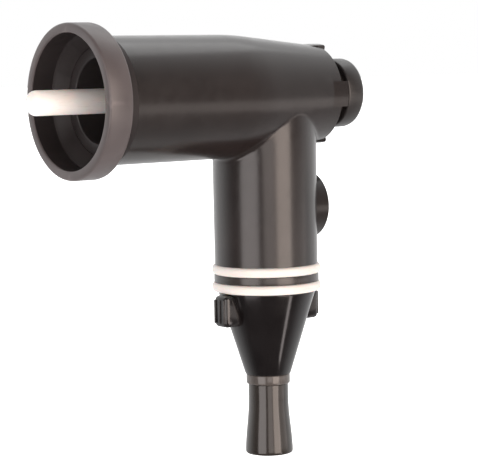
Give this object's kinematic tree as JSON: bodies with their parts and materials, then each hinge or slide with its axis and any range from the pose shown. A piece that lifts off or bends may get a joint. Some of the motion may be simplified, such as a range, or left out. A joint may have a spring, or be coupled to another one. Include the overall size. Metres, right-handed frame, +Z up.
{
  "type": "otoscope head",
  "caption": "Right-angle otoscope head: handle collar with sprung light guide, focusing eyepiece, air button, and a pull-off speculum under two white seals.",
  "frame": {"origin": "centre of the handle collar's front face, on the barrel's axis", "axes": "+X along the barrel from handle to eyepiece, +Z up; the leg and speculum point down along -Z"},
  "size_m": [0.0765, 0.03, 0.0884],
  "materials": {
    "housing_plastic": "satin moulded black",
    "collar_plastic": "satin turned black",
    "socket_plastic": "fine matt black",
    "bush_brass": "turned",
    "black_rubber": "matt",
    "screw_steel": "plain",
    "spring_steel": "drawn wire",
    "mount_aluminium": "black anodised",
    "mirror_glass": "front silvered",
    "clear_acrylic": "polished",
    "washer_ptfe": "waxy",
    "knob_plastic": "fine matt",
    "white_silicone": "soft satin",
    "spacer_plastic": "satin",
    "opal_acrylic": "opal, polished",
    "window_glass": "clear",
    "button_rubber": "matt",
    "speculum_plastic": "polished moulded black",
    "collar_gloss": "polished",
    "soft_tip_plastic": "polished soft plastic"
  },
  "bodies": {
    "head": {"housing": "housing_plastic", "handle_collar": "collar_plastic", "socket_sleeve": "socket_plastic", "guide_bush": "bush_brass", "guide_seal": "black_rubber", "bush_screws": "screw_steel", "guide_spring": "spring_steel", "mirror_mount": "mount_aluminium", "roof_mirror": "mirror_glass", "light_pipe": "clear_acrylic", "focus_tube": "mount_aluminium", "focus_washer": "washer_ptfe", "eyepiece_bezel": "knob_plastic", "knob_seal": "black_rubber", "button_seat": "socket_plastic", "button_spring": "spring_steel", "speculum_spigot": "socket_plastic", "upper_seal": "white_silicone", "spacer_ring": "spacer_plastic", "lower_seal": "white_silicone"},
    "light_guide": {"light_guide": "opal_acrylic", "guide_clip": "spring_steel"},
    "focus_knob": {"focus_knob": "knob_plastic", "eyepiece_window": "window_glass"},
    "lens_cell": {"lens_cell": "mount_aluminium", "eyepiece_lens": "window_glass", "lens_ring": "bush_brass", "cam_pin": "screw_steel"},
    "air_button": {"air_button": "button_rubber", "button_seal": "black_rubber", "button_clip": "spring_steel"},
    "speculum": {"speculum_cone": "speculum_plastic", "tip_collar": "collar_gloss", "soft_tip": "soft_tip_plastic"}
  },
  "joints": [
    {"name": "guide_plunge", "type": "slide", "parent": "head", "child": "light_guide", "axis": [1, 0, 0], "range_m": [0, 0.003], "stiffness_N_per_m": 150, "springref_m": -0.002, "deforming": ["guide_spring"]},
    {"name": "focus_turn", "type": "hinge", "parent": "head", "child": "focus_knob", "pos_m": [0.06, 0, 0], "axis": [1, 0, 0], "range_deg": [-60.2, 60.2]},
    {"name": "focus_slide", "type": "slide", "parent": "head", "child": "lens_cell", "axis": [1, 0, 0], "range_m": [-0.0015, 0.0015]},
    {"name": "air_press", "type": "slide", "parent": "head", "child": "air_button", "axis": [-1, 0, 0], "range_m": [0, 0.0015], "stiffness_N_per_m": 250, "springref_m": -0.001, "deforming": ["button_spring"]},
    {"name": "speculum_pull", "type": "slide", "parent": "head", "child": "speculum", "axis": [0, 0, -1], "range_m": [0, 0.012]}
  ],
  "couplings": [
    {"joint": "focus_turn", "follows": "focus_slide", "rad_per_m": 698.13}
  ]
}
